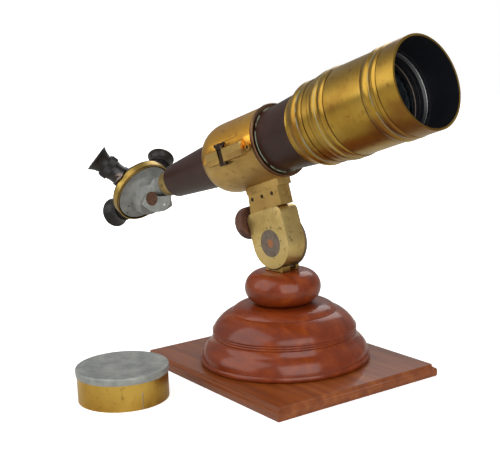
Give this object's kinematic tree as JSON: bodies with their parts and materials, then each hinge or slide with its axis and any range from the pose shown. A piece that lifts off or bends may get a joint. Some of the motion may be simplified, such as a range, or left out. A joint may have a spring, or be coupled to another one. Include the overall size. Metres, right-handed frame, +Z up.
{
  "type": "table telescope",
  "caption": "Brass observation telescope with a three-eyepiece turret, worm-driven elevation and a loose cap, on a turned wooden table stand with a square-cornered base plate.",
  "frame": {"origin": "middle of the base plate's underside, on the upright axis of the stand", "axes": "+Z up, +X along the plate's long side towards the objective, +Y to the left"},
  "size_m": [0.549, 0.3491, 0.3736],
  "materials": {
    "mahogany": "varnished, satin gloss",
    "lacquered_brass": "lacquered, worn in places",
    "bearing_brass": "plain turned",
    "steel": "turned, dull",
    "copper_bronze": "polished bronze",
    "tube_lacquer": "dark brown lacquer, satin",
    "black_lacquer": "black, matt inside and satin outside",
    "black_bakelite": "moulded, semi-gloss",
    "brown_bakelite": "moulded, satin",
    "casting_paint": "grey, satin",
    "cork": "cork sheet",
    "optical_glass": "polished and coated",
    "zinc": "spun sheet, dull"
  },
  "bodies": {
    "stand": {"base_plate": "mahogany", "pedestal": "mahogany", "bun": "mahogany", "azimuth_bush": "bearing_brass", "stand_screws": "steel"},
    "head": {"foot_block": "lacquered_brass", "head_stem": "bearing_brass", "spindle_washer": "steel", "spindle_nut": "steel", "worm_wheel": "bearing_brass", "wheel_screws": "steel", "elevation_axle": "copper_bronze"},
    "tilt": {"worm_housing": "lacquered_brass", "bearing_disc": "steel", "end_plate": "steel", "end_plate_screws": "steel", "worm_bush_rear": "bearing_brass", "worm_bush_front": "bearing_brass", "shoe": "lacquered_brass", "shoe_screws": "steel", "collar_lower": "lacquered_brass", "collar_upper": "lacquered_brass", "collar_liner": "cork", "collar_screws": "steel", "clamp_bolts": "steel", "clamp_nuts": "steel", "stop_ring": "lacquered_brass", "main_tube": "tube_lacquer", "tube_baffle": "black_lacquer", "head_ring": "lacquered_brass", "head_barrel": "lacquered_brass", "objective_cell": "black_lacquer", "crown_lens": "optical_glass", "flint_lens": "optical_glass", "lens_retainer": "black_lacquer", "tail_ferrule": "lacquered_brass", "prism_casting": "casting_paint", "casting_plug": "brown_bakelite", "erecting_prism": "optical_glass", "turret_pivot": "steel"},
    "worm_drive": {"worm": "steel", "elevation_knob": "brown_bakelite"},
    "shade": {"sunshade": "lacquered_brass"},
    "turret": {"turret_band": "lacquered_brass", "turret_shell": "black_lacquer", "field_lenses": "optical_glass", "long_eyepiece_barrel": "black_lacquer", "short_eyepiece_barrel": "black_lacquer", "main_eyepiece_barrel": "black_lacquer"},
    "long_focus": {"long_focus_ring": "black_lacquer", "long_eyecup": "black_bakelite", "long_eye_lens": "optical_glass"},
    "short_focus": {"short_focus_ring": "black_lacquer", "short_eyecup": "black_bakelite", "short_eye_lens": "optical_glass"},
    "main_focus": {"main_focus_ring": "black_lacquer", "main_eyecup": "black_bakelite", "main_eye_lens": "optical_glass"},
    "cap": {"cap_lid": "zinc", "cap_skirt": "lacquered_brass"}
  },
  "joints": [
    {"name": "azimuth", "type": "hinge", "parent": "stand", "child": "head", "pos_m": [0, 0, 0.116], "axis": [0, 0, 1], "continuous": true},
    {"name": "elevation", "type": "hinge", "parent": "head", "child": "tilt", "pos_m": [-0.00377, -0.0005, 0.14818], "axis": [0.1305, -0.9914, 0], "range_deg": [-27.3, 12.7]},
    {"name": "worm_turn", "type": "hinge", "parent": "tilt", "child": "worm_drive", "pos_m": [-0.012, -0.00592, 0.17666], "axis": [0.9466, 0.1246, 0.2974], "range_deg": [-665, 1425]},
    {"name": "sunshade_slide", "type": "slide", "parent": "tilt", "child": "shade", "axis": [0.9466, 0.1246, 0.2974], "range_m": [-0.008, 0.045]},
    {"name": "turret_turn", "type": "hinge", "parent": "tilt", "child": "turret", "pos_m": [-0.2452, -0.03662, 0.18463], "axis": [-0.8778, -0.1156, 0.4648], "continuous": true},
    {"name": "long_focus_turn", "type": "hinge", "parent": "turret", "child": "long_focus", "pos_m": [-0.25918, -0.0817, 0.22295], "axis": [-0.3778, -0.6674, 0.6417], "range_deg": [-150, 150]},
    {"name": "short_focus_turn", "type": "hinge", "parent": "turret", "child": "short_focus", "pos_m": [-0.265, -0.00217, 0.21653], "axis": [-0.5377, 0.5469, 0.6417], "range_deg": [-150, 150]},
    {"name": "main_focus_turn", "type": "hinge", "parent": "turret", "child": "main_focus", "pos_m": [-0.299, -0.0437, 0.15721], "axis": [-0.9466, -0.1246, -0.2974], "range_deg": [-150, 150]},
    {"name": "cap_lift", "type": "slide", "parent": "stand", "child": "cap", "axis": [0, 0, 1], "range_m": [0, 0.15]}
  ],
  "couplings": [
    {"joint": "worm_turn", "follows": "elevation", "ratio": -52}
  ]
}
